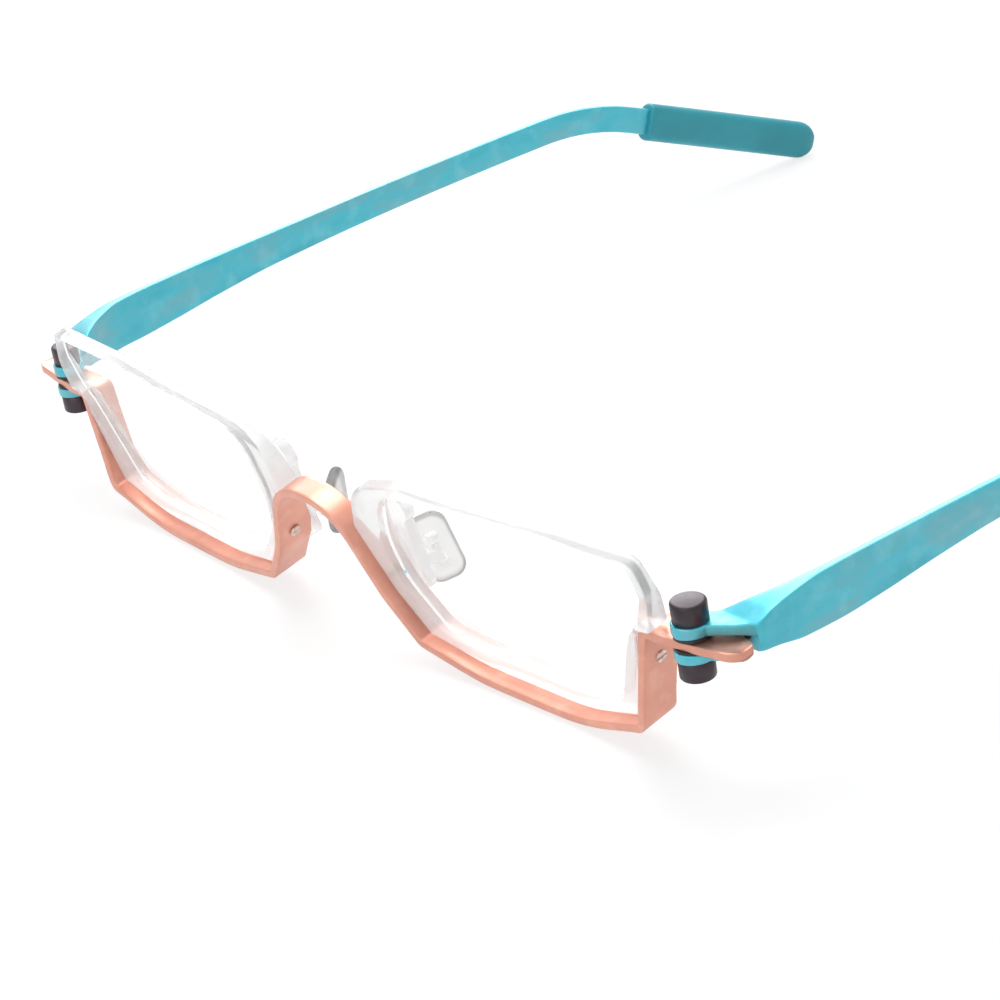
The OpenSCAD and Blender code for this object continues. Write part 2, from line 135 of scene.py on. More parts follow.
def offsetCorners(corners, shift, least=0.3):
    # corner path moved to the left of its direction of travel
    out = []
    last = len(corners) - 1
    for i, (x, z, r) in enumerate(corners):
        a = np.array(corners[max(1, i)][:2]) - np.array(corners[max(0, i - 1)][:2])
        b = np.array(corners[min(last, i + 1)][:2]) - np.array(corners[min(last - 1, i)][:2])
        a, b = a / np.linalg.norm(a), b / np.linalg.norm(b)
        na, nb = np.array((-a[1], a[0])), np.array((-b[1], b[0]))
        m = (na + nb) / (1 + na @ nb)
        s = 1 if a[0] * b[1] - a[1] * b[0] > 0 else -1
        out.append([x + m[0] * shift, z + m[1] * shift, max(least, r - s * shift)])
    return out


def newObject(name, data):
    # a new object in the scene
    obj = bpy.data.objects.new(name, data)
    bpy.context.scene.collection.objects.link(obj)
    return obj


def meshPiece(name, verts, faces, bodyName, flip=False):
    # a smooth mesh in the shared frame, mirrored where flip is true
    if flip:
        verts = [Vector((-v[0], v[1], v[2])) for v in verts]
        faces = [tuple(reversed(f)) for f in faces]
    mesh = bpy.data.meshes.new(name)
    mesh.from_pydata([tuple(v) for v in verts], [], faces)
    mesh.validate()
    for p in mesh.polygons:
        p.use_smooth = True
    obj = newObject(name, mesh)
    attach(obj, bodyName)
    return obj


def outward(obj):
    # merges doubles, then turns every face outwards
    bm = bmesh.new()
    bm.from_mesh(obj.data)
    bmesh.ops.remove_doubles(bm, verts=bm.verts, dist=1e-7)
    bmesh.ops.recalc_face_normals(bm, faces=bm.faces)
    bm.to_mesh(obj.data)
    bm.free()


def loft(rings, ends=True):
    # rings of equal length joined one to the next, with flat ends where ends is true
    n = len(rings[0])
    verts = [Vector(p) for ring in rings for p in ring]
    faces = []
    for i in range(len(rings) - 1):
        for j in range(n):
            k = (j + 1) % n
            faces.append((i * n + j, i * n + k, (i + 1) * n + k, (i + 1) * n + j))
    if ends:
        faces.append(tuple(reversed(range(n))))
        faces.append(tuple((len(rings) - 1) * n + j for j in range(n)))
    return verts, faces


def joined(first, second):
    # two lofts put together as one mesh
    base = len(first[0])
    return first[0] + second[0], first[1] + [tuple(base + k for k in f) for f in second[1]]


def inShared(rings):
    # rings of the drawing moved to the shared frame
    return [[toShared(*p) for p in ring] for ring in rings]


def roundedSection(width, height, radius, steps, across=1):
    # closed outline of a rounded bar, centred; across is the number of parts of its top and bottom
    radius = min(radius, width * 0.49, height * 0.49)
    sideX, sideZ = width / 2 - radius, height / 2 - radius
    out = []
    for cx, cz, start in ((1, 1, 0), (-1, 1, 90), (-1, -1, 180), (1, -1, 270)):
        for k in range(steps + 1):
            g = math.radians(start + 90 * k / steps)
            out.append((cx * sideX + radius * math.cos(g), cz * sideZ + radius * math.sin(g)))
        if start in (0, 180):
            x0, z0 = out[-1]
            out += [(x0 + (-cx * sideX - x0) * t / across, z0) for t in range(1, across)]
    return out


# underside of the strip, which is also the seat of the rim: x, z and bend radius of each corner
seatLine = [(10.5, 4.6, 9.0), (15.05, -1.3, 1.8), (25.59, -3.25, 34.0), (43.75, -3.5, 30.0),
            (54.75, -0.59, 2.0)]

# bent strip; a pair named with Over gives the two ends of a gradual change
strip = {"thick": 1.15, "depth": 5.25, "edge": 0.2, "step": 0.3, "tip": 70.75,
         "bridge": (5.25, 15.75, 7.0), "bridgeDepth": 3.4, "bridgeHalf": 12, "bridgeOver": (6.4, 15.2),
         "wallFront": 4.1, "wallLean": 0.195, "wallTop": 14.43, "wallFrom": 50, "wallOver": (51.8, 55.6),
         "flatOver": (3.0, 11.5), "tabFrom": 57.5, "tabLow": 12.5, "tabMiddle": 13.9, "tabBend": 0.95,
         "tabThick": 1.1, "tabOver": (57, 59), "tabBack": 9.3, "roundFrom": 68.25, "roundCentre": 68.2,
         "roundShift": 0.35, "cup": 0.28, "cupOver": (64.5, 69.0), "dip": 0.05, "dipOver": (60, 66)}


def stripCentreLine():
    # underside corners of one half and their mirror, moved to the middle of the sheet
    side, foot = seatLine[-1][:2]
    wallX = side + strip["wallLean"] * (strip["wallTop"] - foot)
    outer = [strip["bridge"]] + seatLine + [(wallX, strip["wallTop"], 0.0)]
    moved = offsetCorners([(-x, z, r) for x, z, r in reversed(outer)] + outer, strip["thick"] / 2)
    top, bend, tip = strip["tabMiddle"], strip["tabBend"], strip["tip"]
    edgeX = moved[-2][0] + (top - moved[-2][1]) * strip["wallLean"]
    return [[-tip, top, 0.0], [-edgeX, top, bend]] + moved[1:-1] + [[edgeX, top, bend], [tip, top, 0.0]]


tabFront = curveThrough([(56.5, 4.1), (57.8, 4.02), (59.5, 4.0), (61.6, 4.3), (64.6, 4.75), (66.1, 4.95),
                         (68.4, 5.2)])


def tabEdges(x):
    # front and back edge of the tab, which ends in half an ellipse
    mid, back = strip["roundFrom"], strip["tabBack"]
    if x <= mid:
        return tabFront(x), back
    t = math.sqrt(max(0.0, 1 - ((x - mid) / (strip["tip"] - strip["roundCentre"])) ** 2))
    front = tabFront(mid)
    centre = (front + back) / 2 + strip["roundShift"] * (1 - t)
    return centre - (back - front) / 2 * t, centre + (back - front) / 2 * t


def stripRing(x, z, direction):
    # one cross-section of the strip
    ax = abs(x)
    nx, nz = -direction[1], direction[0]
    toWall = flat = 0.0
    if ax > strip["wallFrom"]:
        toWall = smooth(*strip["wallOver"], ax) if z < strip["flatOver"][0] else 1.0
        flat = smooth(*strip["flatOver"], z)
    onTab = ax > strip["tabFrom"] and z > strip["tabLow"]
    front, back = tabEdges(ax) if onTab else (strip["wallFront"], strip["wallFront"] + strip["depth"])
    span = max(0.05, back - front)
    thick = blend(strip["thick"], strip["tabThick"], smooth(*strip["tabOver"], ax))
    onBridge = smooth(*strip["bridgeOver"], z) if ax < strip["bridgeHalf"] else 0.0
    depth = blend(strip["depth"], strip["bridgeDepth"], onBridge)
    ring = []
    edge = min(strip["edge"], span * cornerShare)
    for along, out in roundedSection(strip["depth"], thick, edge, 3, 8):
        share = along / strip["depth"] + 0.5
        px, pz = x + nx * out, z + nz * out
        y = front + share * span
        zTop = pz * flat + leanedHeight(y, pz) * (1 - flat)
        if onTab:
            dish = strip["cup"] * (2 * share - 1) ** 2 * smooth(*strip["cupOver"], ax)
            zTop += dish - strip["dip"] * smooth(*strip["dipOver"], ax)
        onFront = leaned(px, wrapAt(ax) + share * depth, pz)
        ring.append(toShared(*(onFront * (1 - toWall) + np.array((px, y, zTop)) * toWall)))
    return ring


def buildStrip():
    # the last cross-sections stop just short of the tip, where the tab would have no width
    pts, dirs = roundedPath(stripCentreLine(), strip["step"])
    rings = [stripRing(x, z, d) for (x, z), d in zip(pts, dirs) if abs(x) <= strip["tip"] - 0.02]
    verts, faces = loft(rings)
    obj = meshPiece("frontStrip", verts, faces, "front")
    outward(obj)
    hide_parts("front_ribbon")
    return obj


frontStrip = buildStrip()
print("strip", len(frontStrip.data.polygons))

# temples; sizes with From or To are distances behind the front
temple = {"pinX": 63.0, "pinY": 6.46, "ear": 2.35, "upperLow": 14.95, "thick": 1.15, "edge": 0.28,
          "outerFrom": 6.5, "innerFrom": 8.5, "curvesTo": 50, "slope": 0.03, "zero": 70.1,
          "bowFrom": 54.46, "bowRadius": 450.0, "notchSide": 66.45, "notchTo": 13,
          "lowerLow": 11.85, "lowerHigh": 13.05, "lowerEdge": 0.22, "lowerSide": 67.4, "lowerSideFrom": 7.8,
          "rootRise": 0.9, "rootOver": (9.2, 10.9), "height": 4.0, "level": 16.2, "lineFrom": 80.0,
          "bendCorner": 106.46, "bendRadius": 40.0, "bendFrom": 97.2, "end": 143.96, "inSleeve": 7,
          "bendStep": 1.2, "tipStep": 0.6, "tipHeight": 5.8, "tipThick": 3.0, "tipEdge": 1.3,
          "tipLength": 30.0, "tipFlat": 0.35, "tipSteps": 13,
          "tipMouth": ((0, 0.82), (0.12, 0.94), (0.4, 1.0))}
templeTop = curveThrough([(3.0, 16.35), (8.4, 16.35), (9.4, 16.45), (10.6, 16.95), (12.0, 17.55),
                          (15.0, 18.25), (19.0, 18.8), (24.0, 18.9), (35.0, 18.85), (55.0, 18.55),
                          (75.0, 18.33), (96.4, 18.2)])
templeLow = curveThrough([(9.7, 13.1), (12.2, 12.85), (16.2, 12.2), (21.2, 12.1), (27.5, 12.45),
                          (36.8, 13.3), (46.4, 13.9), (65.0, 14.15), (96.4, 14.2)])
templeInner = curveThrough([(8.5, 61.83), (8.8, 62.7), (9.1, 63.4), (9.5, 63.95), (10.4, 64.9),
                            (12.0, 66.2), (15.5, 68.1), (20.0, 69.3), (27.0, 69.76), (40.0, 70.15),
                            (50.0, 70.45)])
templeOuter = curveThrough([(6.5, 65.35), (7.2, 66.25), (7.8, 67.05), (8.75, 68.3), (9.35, 69.15),
                            (9.75, 70.1), (10.3, 70.38), (12.0, 70.46), (30.0, 71.0), (50.0, 71.6)])

# where the cross-sections lie: beside the slot, along the bar, and in the root of the lower ear
slotRun = list(np.arange(6.5, 9.69, 0.16)) + [9.69]
barRun = [9.71, 9.8] + list(np.arange(10.0, 30, 0.4)) + list(np.arange(30, 96.4, 1.6))
rootRun = list(np.arange(6.5, 10.9, 0.2))


def outerFace(y):
    # outer face seen from above, straight and then curving inwards
    bow = max(0.0, y - temple["bowFrom"]) ** 2 / (2 * temple["bowRadius"])
    return temple["zero"] + temple["slope"] * y - bow


def templeSpan(y):
    # inner and outer x of the temple at distance y behind the front
    dy = y - temple["pinY"]
    arc = math.sqrt(max(0.0, temple["ear"] ** 2 - dy * dy))
    if y < temple["curvesTo"]:
        inner = temple["pinX"] - arc if y < temple["innerFrom"] else templeInner(y)
        outer = temple["pinX"] + arc if y < temple["outerFrom"] else templeOuter(y)
    else:
        outer = outerFace(y)
        inner = outer - temple["thick"]
    return inner, max(outer, inner + 0.1)


def barRing(x0, x1, z0, z1, y, edge):
    # an upright cross-section at distance y behind the front
    w, h = x1 - x0, z1 - z0
    section = roundedSection(w, h, min(edge, w * cornerShare, h * cornerShare), 3, 4)
    return [(x0 + w / 2 + px, y, z0 + h / 2 + pz) for px, pz in section]


def notched(ring):
    # the inner low corner is cut away, so that the folded temple clears the tab
    x0, z0 = min(p[0] for p in ring), min(p[2] for p in ring)
    dx, dz = temple["notchSide"] - x0, temple["upperLow"] - z0
    if dx < 0.05:
        return ring
    out = []
    for x, y, z in ring:
        u, v = (x - x0) / dx, (z - z0) / dz
        if u < 1 and v < 1 and u <= v:
            x, z = x0 + dx * min(1, 1 - v + u), z0 + dz
        elif u < 1 and v < 1:
            x, z = x0 + dx, z0 + dz * min(1, 1 - u + v)
        out.append((x, y, z))
    return out


def earStations(steps=22, first=4, sweep=82):
    # distances behind the front along the round of an ear, evenly spaced in degrees about the pin
    turns = [math.radians(first + sweep * k / steps) for k in range(steps + 1)]
    return [temple["pinY"] - temple["ear"] * math.cos(turn) for turn in turns]


def earBend(step):
    # middle line from the straight part through the bend behind the ear to the tip
    endHeight = temple["tipHeight"] / 2 - datum["lift"]
    return roundedPath([(temple["lineFrom"], temple["level"], 0),
                        (temple["bendCorner"], temple["level"], temple["bendRadius"]),
                        (temple["end"], endHeight, 0)], step)


def squareRing(place, direction, section):
    # a cross-section square to the middle line of the bend
    mid = outerFace(place[0]) - temple["thick"] / 2
    return [(mid + a, place[0] - direction[1] * b, place[1] + direction[0] * b) for a, b in section]


def upperRings():
    # the upper ear, the bar, then the bend up to a little way inside the sleeve
    rings = []
    for y in earStations() + slotRun:
        x0, x1 = templeSpan(y)
        rings.append(barRing(x0, x1, temple["upperLow"], templeTop(y), y, temple["edge"]))
    for y in barRun:
        x0, x1 = templeSpan(y)
        ring = barRing(x0, x1, templeLow(y), templeTop(y), y, temple["edge"])
        rings.append(notched(ring) if y < temple["notchTo"] else ring)
    section = roundedSection(temple["thick"], temple["height"], temple["edge"], 3, 4)
    for place, direction in zip(*earBend(temple["bendStep"])):
        if temple["bendFrom"] <= place[0] <= temple["end"] - temple["inSleeve"]:
            rings.append(squareRing(place, direction, section))
    return rings


def lowerRings():
    # lower ear, its root inside the bar
    rings = []
    for y in earStations() + rootRun:
        x0, x1 = templeSpan(y)
        if y > temple["lowerSideFrom"]:
            x1 = min(x1, temple["lowerSide"])
        low = temple["lowerLow"] + temple["rootRise"] * smooth(*temple["rootOver"], y)
        rings.append(barRing(x0, max(x1, x0 + 0.3), low, temple["lowerHigh"], y, temple["lowerEdge"]))
    return rings


def buildTemple(sideName):
    verts, faces = joined(loft(inShared(upperRings())), loft(inShared(lowerRings())))
    obj = meshPiece("temple_" + sideName + "_bar", verts, faces, "temple_" + sideName + "_body",
                    sideName == "right")
    outward(obj)
    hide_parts("temple_" + sideName)
    return obj


temples = [buildTemple(side) for side in sides]
print("temples", len(temples[0].data.polygons))


def sleeveRing(place, direction, scale):
    # one cross-section of the sleeve; its thickness shrinks less than its height
    width, height = temple["tipThick"] * blend(temple["tipFlat"], 1, scale), temple["tipHeight"] * scale
    return squareRing(place, direction, roundedSection(width, height, temple["tipEdge"] * scale, 4, 4))


def buildTip(sideName):
    # the mouth of the sleeve and its far end are rounded
    pts, dirs = earBend(temple["tipStep"])
    ahead, steps = dirs[-1], temple["tipSteps"]
    start = temple["end"] - temple["tipLength"] * ahead[0]
    line = [(p, d) for p, d in zip(pts, dirs) if p[0] >= start]
    mouth, way = line[0]
    rings = [sleeveRing(mouth + way * along, way, scale) for along, scale in temple["tipMouth"]]
    rings += [sleeveRing(p, d, 1.0) for p, d in line[1:]]
    for k in range(1, steps):
        g = math.radians(90 * k / steps)
        place = pts[-1] + ahead * (temple["tipHeight"] / 2) * math.sin(g)
        rings.append(sleeveRing(place, ahead, math.cos(g)))
    verts, faces = loft(inShared(rings))
    obj = meshPiece("temple_" + sideName + "_sleeve", verts, faces, "temple_" + sideName + "_body",
                    sideName == "right")
    outward(obj)
    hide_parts("temple_tip_" + sideName)
    return obj


tips = [buildTip(side) for side in sides]
print("sleeves", len(tips[0].data.polygons))

# pieces that keep the drawn shape: width of the bevel in millimetres, and the least angle that gets one
soften = {"arm": {"width": 0.25, "segments": 3, "angle": 28},
          "screw": {"width": 0.05, "segments": 1, "angle": 50}}


def softened(node, name, bodyName, slotName, width, segments, angle):
    # a merged copy of a drawn piece with softened edges
    mesh = nodes[node].data.copy()
    mesh.name = name
    mesh.materials.clear()
    bm = bmesh.new()
    bm.from_mesh(mesh)
    bmesh.ops.remove_doubles(bm, verts=bm.verts, dist=2e-6)
    bmesh.ops.dissolve_limit(bm, angle_limit=math.radians(0.6), verts=bm.verts, edges=bm.edges)
    bmesh.ops.recalc_face_normals(bm, faces=bm.faces)
    edges = [e for e in bm.edges if len(e.link_faces) == 2 and e.calc_face_angle(0) > math.radians(angle)]
    bmesh.ops.bevel(bm, geom=edges, offset=width * 0.001, segments=segments, profile=0.6, affect="EDGES",
                    clamp_overlap=True)
    for f in bm.faces:
        f.smooth = True
    bm.to_mesh(mesh)
    bm.free()
    obj = newObject(name, mesh)
    for e in mesh.edges:
        e.use_edge_sharp = False
    mesh.set_sharp_from_angle(angle=math.radians(40))
    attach(obj, bodyName)
    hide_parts(node)
    return obj


arms = [softened("pad_arm_" + side, "pad_arm_" + side + "_clear", "front", "clear_plastic", **soften["arm"])
        for side in sides]
print("clear pieces done")


# clear rims and lenses; a pair named with Over gives the two heights of a gradual change
rim = {"middle": (34.673, 10.9), "behind": 0.2, "front": 1.7, "rear": 4.8, "topFront": 2.1, "topRear": 4.1,
       "frontOver": (12.5, 22.5), "rearOver": (11.5, 22.5), "round": 0.28, "step": 0.3, "holeStep": 0.15,
       "seatGap": 1.2, "lensSet": 0.5, "lensThick": 1.0, "lensRadius": 450.0, "lensGap": 0.03,
       "openingHalf": 12, "lensRings": 14, "seatEnd": 0.05}
rimSeat = [(6.5, 13.1, 0.0)] + seatLine + [(57.52, 13.61, 0.0)]
rimCrown = [(59.0, 13.84, 0.3), (59.85, 18.1, 3.0), (58.3, 22.75, 1.4), (43.85, 22.8, 40.0),
            (32.15, 21.9, 60.0), (17.52, 21.6, 12.0), (10.4, 19.7, 3.0), (8.7, 17.9, 2.0)]
eyeOpening = [(18.43, 0.73, 3.2), (25.64, 0.01, 26.0), (43.6, -0.24, 24.0), (50.0, 1.3, 2.2),
              (53.8, 10.0, 4.0), (55.1, 12.4, 1.0), (57.15, 14.5, 2.5), (58.75, 18.4, 1.2),
              (57.95, 22.0, 1.8), (43.85, 22.05, 40.0), (32.15, 21.15, 60.0), (14.2, 19.85, 5.0),
              (12.1, 12.0, 9.0), (13.4, 6.6, 7.0)]


def closedPath(corners, step):
    # evenly spaced points round a closed outline, from the middle of its last side
    start = [(corners[0][0] + corners[-1][0]) / 2, (corners[0][1] + corners[-1][1]) / 2, 0.0]
    return roundedPath([start] + [list(c) for c in corners] + [start], step)[0][:-1]


def pointsAtAngles(loop, centre, angles):
    # where rays from the centre meet the loop
    around = np.unwrap(np.arctan2(loop[:, 1] - centre[1], loop[:, 0] - centre[0]))
    around, loop = np.append(around, around[0] + 2 * math.pi), np.vstack([loop, loop[:1]])
    turns = around[0] + np.mod(angles - around[0], 2 * math.pi)
    return np.stack([np.interp(turns, around, loop[:, 0]), np.interp(turns, around, loop[:, 1])], 1)


def onRim(flat, depth):
    # the rim is a flat sheet turned a little to follow the wrap of the front
    x, z = flat
    yaw = math.asin(rim["middle"][0] / datum["wrapRadius"])
    middleY = wrapAt(rim["middle"][0]) + rim["behind"]
    y = middleY + (x - rim["middle"][0]) * math.tan(yaw) + depth / math.cos(yaw)
    return toShared(*leaned(x, y, z))


def rimLoops():
    # outline of the rim and the eye opening, point for point
    seat = offsetCorners(rimSeat, rim["seatGap"])
    seat[0][2] = seat[-1][2] = rim["seatEnd"]
    outer = closedPath(seat + rimCrown, rim["step"])
    centre = np.array(rim["middle"])
    angles = np.unwrap(np.arctan2(outer[:, 1] - centre[1], outer[:, 0] - centre[0]))
    return outer, pointsAtAngles(closedPath(eyeOpening, rim["holeStep"]), centre, angles)


def buildRim(sideName):
    outer, inner = rimLoops()
    rings = []
    for a, b in zip(inner, outer):
        width = np.linalg.norm(b - a)
        way, mid = (b - a) / width, (a + b) / 2
        front = blend(rim["front"], rim["topFront"], smooth(*rim["frontOver"], mid[1]))
        rear = blend(rim["rear"], rim["topRear"], smooth(*rim["rearOver"], mid[1]))
        section = roundedSection(width, rear - front, rim["round"], 4)
        rings.append([onRim(mid + way * s, (front + rear) / 2 + t) for s, t in section])
    verts, faces = loft(rings + rings[:1], False)
    obj = meshPiece("rim_" + sideName + "_clear", verts, faces, "front",
                    sideName == "right")
    outward(obj)
    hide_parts("rim_" + sideName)
    return obj


def buildLens(sideName):
    centre = np.array(rim["middle"])
    spread = (rimLoops()[1] - centre) * (1 - rim["lensGap"] / rim["openingHalf"])
    rings = []
    # the front sheet from the middle outwards, then the back sheet inwards again
    for back, first, last in ((0.0, 0.0, 1.0), (rim["lensThick"], 1.0, 0.0)):
        depth = rim["front"] + rim["lensSet"] + back
        for share in np.linspace(first, last, rim["lensRings"]):
            ring = centre + spread * share
            sags = [(q - centre) @ (q - centre) / (2 * rim["lensRadius"]) for q in ring]
            rings.append([onRim(q, depth + sag) for q, sag in zip(ring, sags)])
    verts, faces = loft(rings, False)
    obj = meshPiece("lens_" + sideName + "_clear", verts, faces, "front", sideName == "right")
    outward(obj)
    obj.data.set_sharp_from_angle(angle=math.radians(40))
    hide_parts("lens_" + sideName)
    return obj


rims, lenses = [], []
for side in sides:
    rims.append(buildRim(side))
    lenses.append(buildLens(side))
print("rims", len(rims[0].data.polygons))


# nose pads: soft pillows with two knuckles that turn on the post
pad = {"place": (10.6, 11.3, 7.9), "turn": (-35.0, 16.0, -8.0), "width": 5.0, "length": 9.0, "corner": 1.8,
       "half": 0.9, "fullness": 7, "roundness": 0.4, "rings": 16, "edgeShadeOver": (0.86, 0.95),
       "postOut": 1.75, "knuckle": 0.95, "knuckleFrom": 0.4, "knuckleEdge": 0.8,
       "knuckleAt": ((1.25, 0.12), (1.35, 0.0), (2.1, 0.0), (2.25, 0.18))}


def knuckleRings(sign):
    # a block from inside the pillow to round the post, above or below the arm
    start, rings = pad["knuckleFrom"], []
    for height, shrink in pad["knuckleAt"]:
        length = pad["postOut"] + pad["knuckle"] - start - shrink
        section = roundedSection(length, 2 * pad["knuckle"] - 2 * shrink, pad["knuckleEdge"], 6)
        rings.append([(start + length / 2 + a, b, sign * height) for a, b in section])
    return rings


def buildPad(sideName):
    yaw, roll, splay = (math.radians(a) for a in pad["turn"])
    turn = Matrix.Rotation(yaw, 3, "Z") @ Matrix.Rotation(roll, 3, "X") @ Matrix.Rotation(splay, 3, "Y")
    outline = roundedSection(pad["width"], pad["length"], pad["corner"], 8)
    rings, edge = [], []
    shares = [math.sin(math.radians(90 * k / pad["rings"])) for k in range(pad["rings"] + 1)]
    for sign, run in ((-1, shares), (1, shares[-2::-1])):
        for share in run:
            thick = sign * pad["half"] * (1 - share ** pad["fullness"]) ** pad["roundness"]
            rings.append([(thick, y * share, z * share) for y, z in outline])
            # edge rises towards the rim of the pillow, where a painted grey shade goes
            edge += [smooth(*pad["edgeShadeOver"], share)] * len(outline)
    shape = loft(rings, False)
    for sign in (1, -1):
        shape = joined(shape, loft(knuckleRings(sign)))
    verts = [toShared(*(turn @ Vector(v) + Vector(pad["place"]))) for v in shape[0]]
    edge += [0.0] * (len(verts) - len(edge))
    obj = meshPiece("nose_pad_" + sideName + "_soft", verts, shape[1], "pad_" + sideName,
                    sideName == "right")
    band = obj.data.attributes.new("edge", "FLOAT", "POINT")
    band.data.foreach_set("value", np.array(edge, np.float32))
    outward(obj)
    obj.data.set_sharp_from_angle(angle=math.radians(50))
    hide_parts("nose_pad_" + sideName)
    return obj


pads = [buildPad(side) for side in sides]
print("nose pads", len(pads[0].data.polygons))


def turned(profile, count=48):
    # mesh turned from (radius, height) points about +Z, in millimetres
    around = [2 * math.pi * k / count for k in range(count)]
    bm = bmesh.new()
    rows = []
    for r, z in profile:
        spots = [(0, 0)] if r < 1e-6 else [(r * math.cos(g), r * math.sin(g)) for g in around]
        rows.append([bm.verts.new((x, y, z)) for x, y in spots])
    for a, b in zip(rows, rows[1:]):
        for k in range(count):
            n = (k + 1) % count
            if len(a) == 1 and len(b) > 1:
                bm.faces.new((a[0], b[n], b[k]))
            elif len(b) == 1 and len(a) > 1:
                bm.faces.new((a[k], a[n], b[0]))
            elif len(a) > 1:
                bm.faces.new((a[k], a[n], b[n], b[k]))
    bmesh.ops.recalc_face_normals(bm, faces=bm.faces)
    bm.transform(Matrix.Scale(0.001, 4))
    mesh = bpy.data.meshes.new("turned")
    bm.to_mesh(mesh)
    bm.free()
    return mesh


def placeTree(name):
    # instances a piece on points that carry their own turn and size
    tree = bpy.data.node_groups.new(name, "GeometryNodeTree")
    face = tree.interface
    face.new_socket("Points", in_out="INPUT", socket_type="NodeSocketGeometry")
    face.new_socket("Piece", in_out="INPUT", socket_type="NodeSocketObject")
    face.new_socket("Size", in_out="INPUT", socket_type="NodeSocketFloat").default_value = 1.0
    face.new_socket("Finish", in_out="INPUT", socket_type="NodeSocketMaterial")
    face.new_socket("Result", in_out="OUTPUT", socket_type="NodeSocketGeometry")
    n, link = tree.nodes, tree.links
    gin, gout = n.new("NodeGroupInput"), n.new("NodeGroupOutput")
    info = n.new("GeometryNodeObjectInfo")
    turn, size = n.new("GeometryNodeInputNamedAttribute"), n.new("GeometryNodeInputNamedAttribute")
    turn.data_type = size.data_type = "FLOAT_VECTOR"
    turn.inputs["Name"].default_value = "turn"
    size.inputs["Name"].default_value = "size"
    grow = n.new("ShaderNodeVectorMath")
    grow.operation = "SCALE"
    put = n.new("GeometryNodeInstanceOnPoints")
    real, paint = n.new("GeometryNodeRealizeInstances"), n.new("GeometryNodeSetMaterial")
    link.new(gin.outputs["Points"], put.inputs["Points"])
    link.new(gin.outputs["Piece"], info.inputs["Object"])
    link.new(info.outputs["Geometry"], put.inputs["Instance"])
    link.new(turn.outputs["Attribute"], put.inputs["Rotation"])
    link.new(size.outputs["Attribute"], grow.inputs[0])
    link.new(gin.outputs["Size"], grow.inputs["Scale"])
    link.new(grow.outputs["Vector"], put.inputs["Scale"])
    link.new(put.outputs["Instances"], real.inputs["Geometry"])
    link.new(real.outputs["Geometry"], paint.inputs["Geometry"])
    link.new(gin.outputs["Finish"], paint.inputs["Material"])
    link.new(paint.outputs["Geometry"], gout.inputs["Result"])
    return tree


def placed(name, tree, mesh, points, material, bodyName, replaced):
    # points are (place, turn in degrees, size) in the shared frame
    seed = newObject("seedPiece", mesh)
    spots = bpy.data.meshes.new(name + "Points")
    spots.from_pydata([tuple(place) for place, turn, size in points], [], [])
    turns = [[math.radians(a) for a in turn] for place, turn, size in points]
    sizes = [size for place, turn, size in points]
    for label, values in (("turn", turns), ("size", sizes)):
        attribute = spots.attributes.new(label, "FLOAT_VECTOR", "POINT")
        attribute.data.foreach_set("vector", np.array(values, np.float32).ravel())
    host = newObject(name + "Host", spots)
    mod = host.modifiers.new("place", "NODES")
    mod.node_group = tree
    ids = {i.name: i.identifier for i in tree.interface.items_tree if i.in_out == "INPUT"}
    mod[ids["Piece"]], mod[ids["Size"]], mod[ids["Finish"]] = seed, 1.0, material
    bpy.context.view_layer.update()
    result = bpy.data.meshes.new_from_object(host.evaluated_get(bpy.context.evaluated_depsgraph_get()))
    result.name = name
    obj = newObject(name, result)
    bpy.data.objects.remove(host)
    bpy.data.objects.remove(seed)
    for p in result.polygons:
        p.use_smooth = True
    result.set_sharp_from_angle(angle=math.radians(50))
    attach(obj, bodyName)
    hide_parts(*replaced)
    return obj


def shadeGroup(name, inputs, outputs):
    # an empty node group with named sockets
    tree = bpy.data.node_groups.new(name, "ShaderNodeTree")
    for label, kind, value in inputs:
        socket = tree.interface.new_socket(label, in_out="INPUT", socket_type=kind)
        if value is not None:
            socket.default_value = value
    for label, kind in outputs:
        tree.interface.new_socket(label, in_out="OUTPUT", socket_type=kind)
    return tree, tree.nodes.new("NodeGroupInput"), tree.nodes.new("NodeGroupOutput")


def mathNode(tree, op, a, b=None, c=None):
    # a Math node fed by sockets or plain numbers
    node = tree.nodes.new("ShaderNodeMath")
    node.operation = op
    for i, v in enumerate((a, b, c)):
        if v is None:
            continue
        if hasattr(v, "is_linked"):
            tree.links.new(v, node.inputs[i])
        else:
            node.inputs[i].default_value = v
    return node.outputs[0]


def makeGrain():
    # stretched noise: fine lines along one axis, or an even satin grain
    inputs = [("Vector", "NodeSocketVector", None), ("Stretch", "NodeSocketVector", (1, 1, 1)),
              ("Scale", "NodeSocketFloat", 100.0), ("Detail", "NodeSocketFloat", 3.0)]
    outputs = [("Value", "NodeSocketFloat"), ("Soft", "NodeSocketFloat")]
    tree, gin, gout = shadeGroup("sheetGrain", inputs, outputs)
    mul = tree.nodes.new("ShaderNodeVectorMath")
    mul.operation = "MULTIPLY"
    noise, broad = tree.nodes.new("ShaderNodeTexNoise"), tree.nodes.new("ShaderNodeTexNoise")
    tree.links.new(gin.outputs["Vector"], mul.inputs[0])
    tree.links.new(gin.outputs["Stretch"], mul.inputs[1])
    for node in (noise, broad):
        tree.links.new(mul.outputs["Vector"], node.inputs["Vector"])
    tree.links.new(gin.outputs["Scale"], noise.inputs["Scale"])
    tree.links.new(gin.outputs["Detail"], noise.inputs["Detail"])
    tree.links.new(mathNode(tree, "MULTIPLY", gin.outputs["Scale"], 0.12), broad.inputs["Scale"])
    tree.links.new(noise.outputs["Fac"], gout.inputs["Value"])
    tree.links.new(broad.outputs["Fac"], gout.inputs["Soft"])
    return tree


